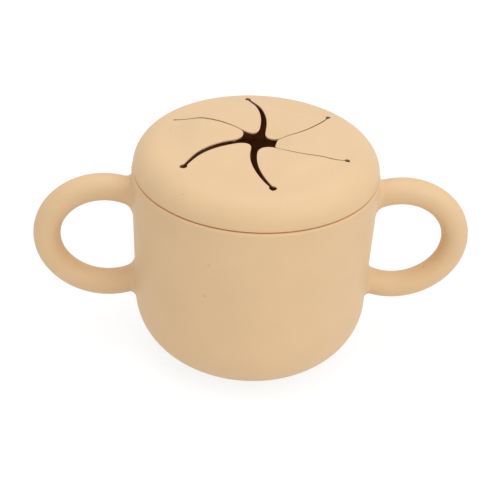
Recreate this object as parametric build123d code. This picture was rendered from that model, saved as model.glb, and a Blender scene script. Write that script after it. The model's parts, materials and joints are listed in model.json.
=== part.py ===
from build123d import *
import os
from math import atan2, cos, degrees, radians, sin, sqrt

# A toddler's snack container, moulded in soft silicone: a round-bottomed cup with two ring
# handles, and a plug-in lid whose top is parted into six petals by curved slits.
# Millimetres. The origin is the middle of the cup's base, +Z runs up the cup's axis and +X
# runs through the handles.

# --- cup ---
rim_diameter = 80.0            # outside of the cup at its rim
base_diameter = 77.7           # outside wall, carried straight down to the table
cup_height = 67.0              # table to the rim's top
bottom_radius = 19.7           # large outside round between the wall and the base
wall = 2.8                     # side wall, measured level
base_thickness = 3.2
rim_edge_radius = 0.9          # round on the rim's outer edge
mouth_chamfer = 0.5            # lead-in on the rim's inner edge

# --- handles ---
handle_thickness = 8.9         # diameter of the round section
handle_half_width = 19.55      # centre line of the oval ring, along X
handle_half_height = 18.65     # the same, along Z
handle_centre_out = 8.6        # ring centre beyond the rim's radius
handle_centre_drop = 26.8      # ring centre below the rim's top
handle_flare = 2.4             # fillet where the handle grows out of the wall

# --- lid ---
lid_height = 10.1              # rim's top to the crown of the lid
lid_edge_inset = 0.4           # lid edge inside the rim's outside
lid_edge_height = 0.4          # upright band between the rim's top and the lid's shoulder
lid_edge_radius = 0.3          # round on the lid's lower edge, beside the parting line
lid_thickness = 1.2            # top and petals
inner_shoulder_radius = 5.0    # round between the top and the skirt, seen from below
crown_radius = 600.0           # the top is very slightly domed

# --- plug skirt, inside the cup ---
skirt_depth = 8.5
skirt_thickness = 1.8
skirt_clearance = 0.6          # skirt to the cup's inner wall
skirt_edge_radius = 0.6
bead_depths = (2.9, 5.9)       # seal beads, below the rim's top
bead_radius = 0.6
bead_clearance = 0.2           # seal bead to the cup's inner wall

# --- slits and petals ---
petal_count = 6
first_slit_angle = 35.1        # degrees from +X
slit_hole_inset = 1.4          # centre of a slit's end hole, inside the shoulder's start
slit_hole_diameter = 2.5
slit_bulge = 3.7               # how far a slit bows clockwise of its straight radius
petal_tip_radius = 4.0
closed_slit = 0.3              # width of a slit whose petals lie side by side
# Widths at the hole and at the centre. Three slits stand open and three are closed.
slit_widths = (
    (closed_slit, closed_slit),
    (0.6, 2.3),
    (closed_slit, closed_slit),
    (1.0, 2.6),
    (1.0, 2.2),
    (closed_slit, closed_slit),
)

# --- petal roots ---
# A petal bends along the chord between its two holes. Its root is a bead that turns in a
# groove of the lid, about an axis at mid thickness.
root_bead_step = 0.1           # bead's surface inside the petal's faces
root_clearance = 0.2           # groove beyond half the petal's thickness
root_end_clearance = 0.15      # bead's ends, inside the holes' edges

# --- worked out from the above ---
rim_radius = rim_diameter / 2
base_radius = base_diameter / 2
lid_radius = rim_radius - lid_edge_inset
crown_z = cup_height + lid_height
crown_centre_z = crown_z - crown_radius
# The shoulder is the one arc that is upright at the lid's edge and runs into the crown.
shoulder_z = cup_height + lid_edge_height
shoulder_radius = (crown_radius**2 - lid_radius**2 - (shoulder_z - crown_centre_z) ** 2) / (
    2 * (crown_radius - lid_radius)
)
shoulder_r = lid_radius - shoulder_radius
slit_hole_r = shoulder_r - slit_hole_inset
slit_step = 360 / petal_count
chord_r = slit_hole_r * cos(radians(slit_step / 2))
half_chord = slit_hole_r * sin(radians(slit_step / 2))
hinge_r = (chord_r + slit_hole_r) / 2
hinge_z = crown_centre_z + sqrt(crown_radius**2 - hinge_r**2) - lid_thickness / 2
root_bead_radius = lid_thickness / 2 - root_bead_step


def wall_radius(z):
    """The cup's outside radius at a height, above its bottom round."""
    return base_radius + (rim_radius - base_radius) * z / cup_height


def skirt_radius(z):
    """The skirt's outside radius: parallel to the cup's inner wall."""
    return wall_radius(z) - wall - skirt_clearance


def polar(r, angle):
    """A point of the plan at a radius and an angle in degrees."""
    return (r * cos(radians(angle)), r * sin(radians(angle)))


def slit_angle(number):
    """The direction of a slit's end hole, in degrees from +X."""
    return first_slit_angle + slit_step * number


def corner(sketch, x, y):
    """The corner of a sketch that lies nearest to a point."""
    return sketch.vertices().sort_by_distance((x, y, 0))[0]


def turned(sketch):
    """A profile, drawn as (radius, height), turned once about the Z axis."""
    return revolve(Plane.XZ * sketch, axis=Axis.Z)


# ---------------------------------------------------------------- cup

def cup_outside():
    """The cup as a full block, with its bottom round and its rim's edge."""
    block = make_face(
        Polyline((0, 0), (base_radius, 0), (rim_radius, cup_height), (0, cup_height), close=True)
    )
    block = fillet(corner(block, base_radius, 0), bottom_radius)
    block = fillet(corner(block, rim_radius, cup_height), rim_edge_radius)
    return turned(block)


def cup_inside():
    """The hollow, as a solid to be cut out, with the lead-in at the mouth."""
    floor_r = wall_radius(0) - wall
    mouth_r = rim_radius - wall
    below = wall_radius(cup_height - mouth_chamfer) - wall
    hollow = make_face(
        Polyline(
            (0, base_thickness),
            (floor_r, base_thickness),
            (below, cup_height - mouth_chamfer),
            (mouth_r + mouth_chamfer, cup_height),
            (0, cup_height),
            close=True,
        )
    )
    hollow = fillet(corner(hollow, floor_r, base_thickness), bottom_radius - wall)
    return turned(hollow)


def tube_arc(centre_x, centre_z, radius, start, end):
    """A bent round bar in the XZ plane, from one angle to another about a centre."""
    section = Pos(radius, 0) * Circle(handle_thickness / 2)
    bar = revolve(section, axis=Axis.Y, revolution_arc=end - start)
    return Pos(centre_x, 0, centre_z) * Rot(0, -end, 0) * bar


def ring_handle():
    """One oval ring of four tangent arcs. The half inside the cup is cut away later."""
    a = handle_half_width
    b = handle_half_height
    end_radius = b**2 / a
    end_shift = a - end_radius
    side_shift = (a - b) * (a + 2 * b) / (2 * b)
    side_radius = b + side_shift
    join = degrees(atan2(a * (a + 2 * b), 2 * b * (a + b)))
    x = rim_radius + handle_centre_out
    z = cup_height - handle_centre_drop
    ring = tube_arc(x + end_shift, z, end_radius, -join, join)
    ring += tube_arc(x, z - side_shift, side_radius, join, 180 - join)
    ring += tube_arc(x - end_shift, z, end_radius, 180 - join, 180 + join)
    ring += tube_arc(x, z + side_shift, side_radius, 180 + join, 360 - join)
    return ring


def handled_half():
    """The +X half of the full block, with its handle and the flares at the handle's roots."""
    block = cup_outside()
    handle = ring_handle()
    joined = block + handle
    seams = (handle & block).edges()
    roots = [
        edge
        for edge in joined.edges()
        if edge.center().X > rim_radius / 2
        and edge.bounding_box().size.Y > handle_thickness / 4
        and any((edge.center() - seam.center()).length < 0.01 for seam in seams)
    ]
    return split(fillet(roots, handle_flare), bisect_by=Plane.YZ, keep=Keep.TOP)


def make_cup():
    """The cup and its two handles, one moulding."""
    half = handled_half()
    return half + Rot(0, 0, 180) * half - cup_inside()


# ---------------------------------------------------------------- lid

def lid_block():
    """The whole lid before it is slit: top, shoulder, edge, plug skirt and seal beads."""
    skirt_z = cup_height - skirt_depth
    skirt_foot = (skirt_radius(skirt_z), skirt_z)
    skirt_head = (skirt_radius(cup_height), cup_height)
    inner_top = skirt_radius(cup_height) - skirt_thickness
    inner_low = skirt_radius(skirt_z) - skirt_thickness
    under_radius = crown_radius - lid_thickness
    under_z = crown_centre_z + sqrt(under_radius**2 - inner_top**2)
    half_turn = atan2(shoulder_z - crown_centre_z, shoulder_r)
    shoulder_top = (crown_radius * cos(half_turn), crown_centre_z + crown_radius * sin(half_turn))
    shoulder = CenterArc((shoulder_r, shoulder_z), shoulder_radius, 0, degrees(half_turn))
    crown = RadiusArc(shoulder_top, (0, crown_z), -crown_radius)
    under = RadiusArc((0, crown_z - lid_thickness), (inner_top, under_z), under_radius)
    outline = make_face(
        [
            Line(skirt_head, (lid_radius, cup_height)),
            Line((lid_radius, cup_height), (lid_radius, shoulder_z)),
            shoulder,
            crown,
            Line((0, crown_z), (0, crown_z - lid_thickness)),
            under,
            Line((inner_top, under_z), (inner_low, skirt_z)),
            Line((inner_low, skirt_z), skirt_foot),
            Line(skirt_foot, skirt_head),
        ]
    )
    outline = fillet(corner(outline, inner_top, under_z), inner_shoulder_radius)
    outline = fillet(corner(outline, *skirt_foot), skirt_edge_radius)
    outline = fillet(corner(outline, lid_radius, cup_height), lid_edge_radius)
    for depth in bead_depths:
        z = cup_height - depth
        reach = skirt_radius(z) + skirt_clearance - bead_clearance
        outline += Pos(reach - bead_radius, z) * Circle(bead_radius)
    return turned(outline)


def slit_point(number, share, offset):
    """A point on a slit, or beside it by an offset to its counter-clockwise side.

    share runs from 0 at the middle of the lid to 1 at the slit's end hole."""
    along_x, along_y = polar(1, slit_angle(number))
    bow = 4 * slit_bulge * share * (1 - share) - offset
    reach = slit_hole_r * share
    return (reach * along_x + bow * along_y, reach * along_y - bow * along_x)


def beyond_slit(number, side):
    """The plan on the far side of a slit, seen from the petal on its given side.

    The edge is one arc from past the lid's middle to the end hole, and straight from there."""
    at_hole, at_middle = slit_widths[number % petal_count]
    inner_share = -0.2
    outer_share = 1.2
    edge = []
    for share in (inner_share, (inner_share + 1) / 2, 1):
        half = (at_middle + (at_hole - at_middle) * share) / 2
        edge.append(slit_point(number, share, side * half))
    outer = slit_point(number, outer_share, side * at_hole / 2)
    far_out = slit_point(number, outer_share, -side * slit_hole_r)
    far_in = slit_point(number, inner_share, -side * slit_hole_r)
    return make_face([ThreePointArc(*edge), Polyline(edge[-1], outer, far_out, far_in, edge[0])])


def petal_plan(number):
    """A petal seen from above, between two slits, with its rounded tip."""
    near = (-chord_r - lid_thickness, -half_chord - slit_bulge)
    far = (0, half_chord)
    box = Polyline(near, (far[0], near[1]), far, (near[0], far[1]), close=True)
    x, y = polar(chord_r, slit_angle(number + 0.5))
    plan = Pos(x, y) * Rot(0, 0, slit_angle(number + 0.5)) * make_face(box)
    plan -= beyond_slit(number, 1)
    plan -= beyond_slit(number + 1, -1)
    tip = plan.vertices().sort_by_distance(polar(petal_tip_radius, slit_angle(number + 0.5)))[0]
    return fillet(tip, petal_tip_radius)


def root_bar(number, section, length):
    """A section, drawn across a petal's root, drawn out along it to a length each way.

    The section's X points out of the lid and its Y points up."""
    x, y = polar(chord_r, slit_angle(number + 0.5))
    place = Pos(x, y, hinge_z) * Rot(0, 0, slit_angle(number + 0.5))
    return place * extrude(Plane.XZ * section, length, both=True)


def end_holes():
    """The round holes that end the slits, as bars through the top."""
    bar = Cylinder(slit_hole_diameter / 2, 4 * lid_thickness)
    return [
        Pos(*polar(slit_hole_r, slit_angle(n)), hinge_z) * bar for n in range(petal_count)
    ]


def make_lid(block):
    """The lid without its petals, grooved along each petal's root."""
    mouth = make_face(
        Polyline(*[polar(slit_hole_r, slit_angle(n)) for n in range(petal_count)], close=True)
    )
    groove = Circle(lid_thickness / 2 + root_clearance)
    cutters = [Pos(0, 0, hinge_z) * extrude(mouth, 2 * lid_thickness, both=True)]
    cutters += [root_bar(n, groove, half_chord) for n in range(petal_count)]
    return block - cutters - end_holes()


def make_petal(block, number):
    """One petal: its share of the top, and the bead that it turns on."""
    prism = Pos(0, 0, hinge_z) * extrude(petal_plan(number), 2 * lid_thickness, both=True)
    sheet = (block & prism) - end_holes()
    outer_half = Pos(root_bead_radius, 0) * Rectangle(2 * root_bead_radius, 2 * root_bead_radius)
    half_round = Circle(root_bead_radius) & outer_half
    bead_reach = half_chord - slit_hole_diameter / 2 - root_end_clearance
    return sheet + root_bar(number, half_round, bead_reach)


# ---------------------------------------------------------------- the set

def make_all():
    """Every piece under its node's name."""
    block = lid_block()
    pieces = {"cup": make_cup(), "lid": make_lid(block)}
    for n in range(petal_count):
        pieces[f"petal_{n + 1}"] = make_petal(block, n)
    return pieces


os.makedirs("parts", exist_ok=True)
for name, piece in make_all().items():
    piece.label = name
    export_step(piece, f"parts/{name}.step")
    print(f"{name}: {piece.volume:.0f} mm3")
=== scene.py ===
import json
from math import atan, atan2, cos, hypot, pi, radians, sin, sqrt, tan

import bmesh
import bpy
import numpy as np
from bpy.props import FloatProperty, FloatVectorProperty, IntProperty, PointerProperty
from mathutils import Matrix, Vector
from mathutils.geometry import delaunay_2d_cdt


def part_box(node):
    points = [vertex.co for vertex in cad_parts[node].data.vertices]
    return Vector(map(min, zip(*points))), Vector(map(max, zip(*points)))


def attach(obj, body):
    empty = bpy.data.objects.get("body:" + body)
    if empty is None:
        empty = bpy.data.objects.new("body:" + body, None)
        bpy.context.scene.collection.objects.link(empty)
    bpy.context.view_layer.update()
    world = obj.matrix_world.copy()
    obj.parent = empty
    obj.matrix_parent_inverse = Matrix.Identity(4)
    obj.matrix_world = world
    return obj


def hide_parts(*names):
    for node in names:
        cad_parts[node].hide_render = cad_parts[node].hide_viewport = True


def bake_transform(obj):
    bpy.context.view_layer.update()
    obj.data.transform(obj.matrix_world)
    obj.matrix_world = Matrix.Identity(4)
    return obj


bl_info = {
    "name": "Toddler snack cup",
    "version": (1, 0, 0),
    "blender": (4, 5, 0),
    "location": "3D View > Sidebar > Snack Cup",
    "description": "Builds a soft silicone snack cup with two ring handles and a lid of six petals",
    "category": "Mesh",
}

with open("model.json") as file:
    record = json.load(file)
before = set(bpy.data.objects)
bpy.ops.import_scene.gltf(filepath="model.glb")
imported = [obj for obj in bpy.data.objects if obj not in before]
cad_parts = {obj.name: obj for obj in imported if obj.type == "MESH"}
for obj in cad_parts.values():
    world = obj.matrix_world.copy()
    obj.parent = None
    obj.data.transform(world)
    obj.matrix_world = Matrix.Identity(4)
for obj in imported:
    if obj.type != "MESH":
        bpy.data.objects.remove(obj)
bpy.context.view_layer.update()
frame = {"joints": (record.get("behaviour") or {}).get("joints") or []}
CUP_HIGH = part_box("cup")[1]
LID_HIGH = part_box("lid")[1]
PETAL_HINGES = [joint for joint in frame["joints"] if joint["type"] == "hinge"]
FIRST_HINGE = Vector(PETAL_HINGES[0]["pos_m"])

MM = 0.001
PETALS = len(PETAL_HINGES)
PETAL_TURN = 2 * pi / PETALS


# ------------------------------------------------------------------ what a user may change

def in_mm(metres):
    """A length of the frame in millimetres, to a tenth."""
    return round(metres / MM, 1)


def length(name, description, *sizes):
    """A property for a length in millimetres, or for one at each of several places."""
    metres = [size * MM for size in sizes]
    if len(metres) == 1:
        return FloatProperty(name=name, description=description, default=metres[0], unit="LENGTH")
    return FloatVectorProperty(
        name=name, description=description, default=metres, size=len(metres), unit="LENGTH"
    )


def degrees(name, description, angle):
    """A property for an angle in degrees."""
    return FloatProperty(
        name=name, description=description, default=radians(angle), subtype="ANGLE"
    )


def factor(name, description, share):
    """A property for a share, from 0 to 1."""
    return FloatProperty(name=name, description=description, default=share, subtype="FACTOR")


def screen_colour(name, description, *levels):
    """A property for a colour as it is picked on a screen, three levels from 0 to 255."""
    shares = np.array(levels) / 255
    linear = np.where(shares <= 0.04045, shares / 12.92, ((shares + 0.055) / 1.055) ** 2.4)
    return FloatVectorProperty(
        name=name, description=description, default=linear.tolist(), size=3, subtype="COLOR"
    )


class CupSizes(bpy.types.PropertyGroup):
    """The cup, without its handles."""

    rim_radius: length("Rim radius", "Outside of the cup at its rim", in_mm(CUP_HIGH.y))
    height: length("Height", "From the table to the rim's top", in_mm(CUP_HIGH.z))
    base_radius: length("Base radius", "Outside wall, carried straight down to the table", 38.85)
    bottom_radius: length("Bottom round", "Outside round between the wall and the base", 19.7)
    wall: length("Wall", "Thickness of the side wall, measured level", 2.8)
    base_thickness: length("Base thickness", "Thickness of the floor of the cup", 3.2)
    rim_edge_radius: length("Rim edge round", "Round on the outer edge of the rim", 0.9)
    mouth_chamfer: length("Mouth chamfer", "Lead-in on the inner edge of the rim", 0.5)


class HandleSizes(bpy.types.PropertyGroup):
    """The two ring handles, which are alike."""

    bar_radius: length("Bar radius", "Radius of the round section", 4.45)
    half_width: length("Half width", "From the ring's centre to its centre line, sideways", 19.55)
    half_height: length("Half height", "From the ring's centre to its centre line, upwards", 18.65)
    reach: length(
        "Reach", "From the cup's axis to the outermost point of a handle", in_mm(CUP_HIGH.x)
    )
    centre_height: length("Centre height", "Height of the ring's centre above the table", 40.2)
    flare: length("Flare", "Round where the handle grows out of the wall", 2.4)


class LidSizes(bpy.types.PropertyGroup):
    """The lid, without its slits."""

    radius: length("Lid radius", "Outside of the lid at its edge", in_mm(LID_HIGH.x))
    rise: length("Rise", "From the rim's top to the middle of the lid", 10.1)
    edge_height: length("Edge height", "Upright band between the rim and the shoulder", 0.4)
    edge_round: length("Edge round", "Round on the lower edge, beside the parting line", 0.3)
    parting_gap: length(
        "Parting gap", "Height of the fine groove between the lid's edge and the rim", 0.25
    )
    parting_depth: length("Parting depth", "How far that groove runs inwards", 1.2)
    crown_radius: length("Crown radius", "Radius of the very slightly domed top", 600)
    sheet: length("Sheet", "Thickness of the top and of the petals", 1.2)
    inner_round: length("Inner round", "Round between the top and the skirt, seen from below", 5.0)
    skirt_depth: length("Skirt depth", "How far the plug skirt reaches into the cup", 8.5)
    skirt_thickness: length("Skirt thickness", "Thickness of the plug skirt", 1.8)
    skirt_clearance: length("Skirt clearance", "From the skirt to the cup's inner wall", 0.6)
    skirt_foot_round: length("Skirt foot round", "Round on the outer edge of the skirt's foot", 0.6)
    bead_radius: length("Bead radius", "Radius of a seal bead's section", 0.6)
    bead_clearance: length("Bead clearance", "From a seal bead to the cup's inner wall", 0.2)
    bead_depths: length("Bead depths", "The two seal beads, below the rim's top", 2.9, 5.9)


class SlitSizes(bpy.types.PropertyGroup):
    """The six slits and the petals between them, counted as the petals are."""

    hole_radius: length(
        "Hole radii", "Radius of the round hole that ends each slit",
        0.95, 1.1, 0.6, 1.35, 1.35, 1.0,
    )
    bulge: length("Bulge", "How far a slit bows clockwise of its straight radius", 3.7)
    width_at_hole: length(
        "Widths at the holes", "Width of each slit at its end hole", 0.8, 1.2, 0.8, 1.5, 1.4, 0.6
    )
    width_at_middle: length(
        "Widths at the middle", "Width of each slit, carried to the lid's middle",
        0.5, 2.9, 0.5, 3.6, 3.1, 0.5,
    )
    hole_shift: length(
        "Hole shifts", "How far each hole lies to the right of its even place",
        0.13, 0.75, 0.3, 0.55, 0.5, 0.7,
    )
    hole_setback: length(
        "Hole setbacks", "How far each hole lies behind its even place", 0.3, 0.4, 1.2, 0, 0, 0.6
    )
    star_shift: length("Star shift", "How far the star lies to the right of the lid's middle", 0.5)
    sway: length(
        "Sways", "How far each slit's inner end is pushed clockwise", 0, -0.9, 0.9, 0.5, -0.15, 0
    )
    tip_distance: length(
        "Tip distances", "From the lid's middle to each petal's tip", 4.1, 5.1, 6.0, 4.9, 5.4, 5.7
    )
    arm_reach: length(
        "Arm reaches", "From the middle to where each slit opens into the star",
        6.2, 7.5, 8.1, 7.5, 7.5, 6.6,
    )
    corner_round: length(
        "Corner round", "Reach of the rounding of the petals' corners at the star", 1.3
    )
    first_lift: length(
        "First lifts", "Rise of each petal's clockwise edge halfway along its slit",
        0.4, 0.5, 0.94, 0.4, 0.2, 0.9,
    )
    second_lift: length(
        "Second lifts", "Rise of each petal's other edge halfway along its slit",
        0.5, 1.15, 0.5, 0.2, 0.84, 0.34,
    )
    tip_lift: length(
        "Tip lifts", "Rise of each petal's tip above the crown", -0.9, -0.3, -0.1, 0, 0, -0.6
    )
    tip_start: length("Tip start", "From the lid's middle to where the tips begin to hang", 11)
    lift_end: length("Lift end", "From the lid's middle to where the petals' rise ends", 8.3)
    lift_start: length("Lift start", "Length over which the rise grows from a petal's root", 7)
    edge_round: length("Cut edge round", "Round on the cut edges of the petals", 0.15)
    edge_thinning: length(
        "Cut edge thinning", "How much thinner than the sheet a cut edge is, from below", 0.85
    )
    root_outside: length("Root outside", "How far outside its bending line a petal begins", 2)
    root_inside: length(
        "Root inside", "How far inside its bending line a petal has its full turn", 2
    )


class SiliconeLook(bpy.types.PropertyGroup):
    """Colour and surface of the silicone."""

    cup_colour: screen_colour("Cup colour", "Colour of the cup and its handles", 219, 186, 143)
    lid_colour: screen_colour("Lid colour", "Colour of the lid and its petals", 219, 186, 143)
    roughness: factor("Roughness", "How matt the moulded surface is", 0.5)
    sheen: factor("Sheen", "Pale bloom that silicone shows where it is seen edge-on", 0.06)
    # Painted warm shade: openness under which the cup's colour is painted warmer and darker.
    cup_painted_shade: factor("Cup hollow", "Openness under which the cup's tone grows warmer", 0.5)
    # Painted warm shade: the same for the lid.
    lid_painted_shade: factor("Lid hollow", "Openness under which the lid's tone grows warmer", 0.9)
    # Painted shade: openness under which the walls of the lid's cuts are painted darker.
    cut_painted_shade: factor("Crevice", "Openness under which the tone of the lid's cuts deepens", 0.6)
    mottle: factor("Mottle", "How much the pigment's tone drifts over the moulding", 0.05)


class StageSetup(bpy.types.PropertyGroup):
    """The camera, the floor and the lamps."""

    azimuth: degrees("Azimuth", "Direction of the camera round the cup, from the front", -4.27)
    elevation: degrees("Elevation", "Angle of the camera above the table", 33.16)
    roll: degrees("Roll", "Turn of the camera about its own line of sight", 3.01)
    distance: length("Distance", "From the camera to the point that it is aimed at", 384.8)
    aim_height: length("Aim height", "Height of that point on the cup's axis", 39.02)
    aim_pixel: FloatVectorProperty(
        name="Aim pixel",
        description="Where that point lies in the picture, from the top left corner",
        default=(252.54, 239.68), size=2,
    )
    picture_side: IntProperty(
        name="Picture side", description="Width and height of the picture in pixels",
        default=500,
    )
    focal_pixels: FloatProperty(
        name="Focal length in pixels",
        description="Focal length as a number of the picture's pixels",
        default=1149.0,
    )
    key_power: FloatProperty(
        name="Key lamp", description="Power of the soft lamp in front, above and to the right",
        default=2.75, unit="POWER",
    )
    top_power: FloatProperty(
        name="Top lamp", description="Power of the soft lamp overhead",
        default=3.9, unit="POWER",
    )
    room_light: FloatProperty(
        name="Room light", description="Strength of the light that comes from all round",
        default=0.705,
    )


class SnackCup(bpy.types.PropertyGroup):
    """Everything that the operators read."""

    cup: PointerProperty(type=CupSizes)
    handles: PointerProperty(type=HandleSizes)
    lid: PointerProperty(type=LidSizes)
    slits: PointerProperty(type=SlitSizes)
    look: PointerProperty(type=SiliconeLook)
    stage: PointerProperty(type=StageSetup)


# ------------------------------------------------------------------ meshes in general

SHARP_ANGLE = radians(35)          # edges with a sharper turn than this are shaded as edges
SETTLE_STEP = 0.001 * MM           # step over which a distance function's slope is measured
LEAST_SLOPE = 1e-12                # keeps a level distance function from dividing by nothing


class Skin:
    """Gathers rows of points and the faces between them, and makes one closed mesh of them."""

    def __init__(self):
        self.points = np.zeros((0, 3))
        self.faces = []

    def add(self, points):
        """Adds an array of points and returns their numbers in the same arrangement."""
        points = np.asarray(points, float)
        first = len(self.points)
        self.points = np.concatenate((self.points, points.reshape(-1, 3)))
        return np.arange(first, len(self.points)).reshape(points.shape[:-1])

    def strip(self, low, high, closed=True):
        """Four-sided faces between two rows of point numbers."""
        count = len(low)
        for k in range(count if closed else count - 1):
            n = (k + 1) % count
            self.faces.append((low[k], low[n], high[n], high[k]))

    def strips(self, rows, closed=True):
        """Faces between each row and the next."""
        for low, high in zip(rows[:-1], rows[1:]):
            self.strip(low, high, closed)

    def cap(self, row):
        """Closes a small ring of points with faces to its middle."""
        middle = self.add([self.points[row].mean(0)])[0]
        for k in range(len(row)):
            self.faces.append((row[k], row[(k + 1) % len(row)], middle))

    def make(self, name, material):
        """The Blender object, with its normals outwards and its loose points left out."""
        used = np.unique(np.concatenate([np.array(face) for face in self.faces]))
        number = np.zeros(len(self.points), int)
        number[used] = np.arange(len(used))
        mesh = bpy.data.meshes.new(name)
        faces = [tuple(int(number[k]) for k in face) for face in self.faces]
        mesh.from_pydata(self.points[used].tolist(), [], faces)
        shell = bmesh.new()
        shell.from_mesh(mesh)
        bmesh.ops.recalc_face_normals(shell, faces=shell.faces)
        open_edges = sum(1 for edge in shell.edges if len(edge.link_faces) != 2)
        shell.to_mesh(mesh)
        shell.free()
        if open_edges:
            raise RuntimeError(f"{name} has {open_edges} edges that don't join two faces")
        mesh.shade_smooth()
        mesh.set_sharp_from_angle(angle=SHARP_ANGLE)
        mesh.materials.append(material)
        piece = bpy.data.objects.new(name, mesh)
        bpy.context.scene.collection.objects.link(piece)
        return piece


def arc(centre, radius, start, end, count):
    """Points of an arc in a plane, both ends included."""
    angles = np.linspace(start, end, count + 1)
    return np.stack((centre[0] + radius * np.cos(angles), centre[1] + radius * np.sin(angles)), -1)


def between(start, end, count):
    """Points of a straight line in a plane, without its start."""
    shares = np.linspace(0, 1, count + 1)[1:, None]
    return np.asarray(start) * (1 - shares) + np.asarray(end) * shares


def turned(outline, angles):
    """An outline of (radius, height) points turned about the Z axis, one row for each point."""
    radius, height = np.asarray(outline)[:, :1], np.asarray(outline)[:, 1:]
    x = radius * np.cos(angles)
    y = radius * np.sin(angles)
    return np.stack((x, y, np.broadcast_to(height, x.shape)), -1)


def smooth(share):
    """0 to 1 as a share goes from 0 to 1, with level ends."""
    share = np.clip(share, 0, 1)
    return share**2 * (3 - 2 * share)


def settle(points, distance, rounds=6):
    """Moves points straight to the surface where a distance function is zero."""
    for _ in range(rounds):
        slope = np.zeros_like(points)
        for axis in range(3):
            shift = np.zeros(3)
            shift[axis] = SETTLE_STEP
            rise = distance(points + shift) - distance(points - shift)
            slope[..., axis] = rise / (2 * SETTLE_STEP)
        way = distance(points) / np.maximum((slope**2).sum(-1), LEAST_SLOPE)
        points = points - way[..., None] * slope
    return points


# ------------------------------------------------------------------ the cup and its handles

CUP_COLUMNS = 240                  # faces round the cup
CUP_ROW = 1.075 * MM               # height of a face of the outer wall
BASE_RINGS = (0.05, 0.3, 0.6, 0.9, 0.97)    # rings on the base, as shares of its radius
FLOOR_RINGS = (0.95, 0.7, 0.4, 0.05)        # the same on the floor inside
# Faces along the rim's edge, its top, the lead-in, the inner wall and the round to the floor.
EDGE_FACES, RIM_FACES, LEAD_IN_FACES, INNER_FACES, CORNER_FACES = 8, 3, 2, 24, 18
ROOT_HALF = 8                      # half the width of a handle's root, in faces of the wall
ROOT_RINGS = 14                    # rings of faces between the wall and the round bar
ROOT_ROUNDS = 30                   # rounds of evening out those rings
BAR_TURN = radians(101)            # from a handle's outermost point to where its roots begin
BAR_RINGS = 69                     # rings of points along the bar between its roots


class CupOutline:
    """The cup's outside from the side: a slightly tapered wall, its bottom round and its rim."""

    def __init__(self, sizes):
        self.sizes = sizes
        taper = sizes.rim_radius - sizes.base_radius
        slant = hypot(taper, sizes.height)
        self.up = np.array((taper, sizes.height)) / slant
        self.inward = np.array((-sizes.height, taper)) / slant
        self.outward_angle = atan2(-self.inward[1], -self.inward[0])
        self.bottom_centre = self.circle_inside(sizes.bottom_radius, sizes.bottom_radius)
        self.bottom_end = self.bottom_centre - self.inward * sizes.bottom_radius
        rim_height = sizes.height - sizes.rim_edge_radius
        self.rim_centre = self.circle_inside(sizes.rim_edge_radius, rim_height)
        self.rim_start = self.rim_centre - self.inward * sizes.rim_edge_radius

    def circle_inside(self, radius, height):
        """Centre, at a height, of a circle that touches the wall from inside."""
        along = (height - self.inward[1] * radius) / self.up[1]
        return np.array((self.sizes.base_radius, 0)) + self.up * along + self.inward * radius

    def wall_radius(self, z):
        """Outside radius of the straight wall at a height."""
        share = z / self.sizes.height
        return self.sizes.base_radius + (self.sizes.rim_radius - self.sizes.base_radius) * share

    def outer_rows(self):
        """The bottom round and the wall, in even steps from the base to the rim's edge."""
        bottom_radius = self.sizes.bottom_radius
        turn = self.outward_angle + pi / 2
        bottom = arc(self.bottom_centre, bottom_radius, -pi / 2, self.outward_angle,
                     round(bottom_radius * turn / CUP_ROW))
        wall_rows = round(np.linalg.norm(self.rim_start - self.bottom_end) / CUP_ROW)
        return np.concatenate((bottom, between(self.bottom_end, self.rim_start, wall_rows)))

    def distance(self, points):
        """How far points lie outside the wall or its bottom round."""
        place = np.stack((np.hypot(points[..., 0], points[..., 1]), points[..., 2]), -1)
        from_end = place - self.bottom_end
        straight = -(from_end @ self.inward)
        below = np.linalg.norm(place - self.bottom_centre, axis=-1) - self.sizes.bottom_radius
        return np.where(from_end @ self.up > 0, straight, below)


class RingHandle:
    """The oval ring on the +X side. Its centre line is four arcs that run into each other."""

    def __init__(self, sizes):
        wide, high = sizes.half_width, sizes.half_height
        self.bar_radius = sizes.bar_radius
        self.centre = np.array((sizes.reach - wide - sizes.bar_radius, 0, sizes.centre_height))
        self.end_radius = high**2 / wide
        self.end_shift = wide - self.end_radius
        self.side_shift = (wide - high) * (wide + 2 * high) / (2 * high)
        self.side_radius = high + self.side_shift
        self.join = atan2(wide * (wide + 2 * high), 2 * high * (wide + high))

    def rings(self, angles, around):
        """Rings of points round the bar, where the centre line faces the given angles."""
        on_end = np.abs(angles) < self.join
        radius = np.where(on_end, self.end_radius, self.side_radius)
        x = self.centre[0] + np.where(on_end, self.end_shift, 0) + radius * np.cos(angles)
        shift = np.where(on_end, 0, -self.side_shift * np.sign(angles))
        z = self.centre[2] + shift + radius * np.sin(angles)
        outward = self.bar_radius * np.cos(around)
        across = np.broadcast_to(self.bar_radius * np.sin(around), (len(angles), len(around)))
        return np.stack(
            (
                x[:, None] + np.cos(angles)[:, None] * outward,
                across,
                z[:, None] + np.sin(angles)[:, None] * outward,
            ),
            -1,
        )

    def distance(self, points):
        """How far points lie outside the bar."""
        across = np.abs(points[..., 0] - self.centre[0])
        up = np.abs(points[..., 2] - self.centre[2])
        on_end = np.arctan2(up, across - self.end_shift) < self.join
        to_end = np.hypot(across - self.end_shift, up) - self.end_radius
        to_side = np.hypot(across, up + self.side_shift) - self.side_radius
        return np.hypot(np.where(on_end, to_end, to_side), points[..., 1]) - self.bar_radius


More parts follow.
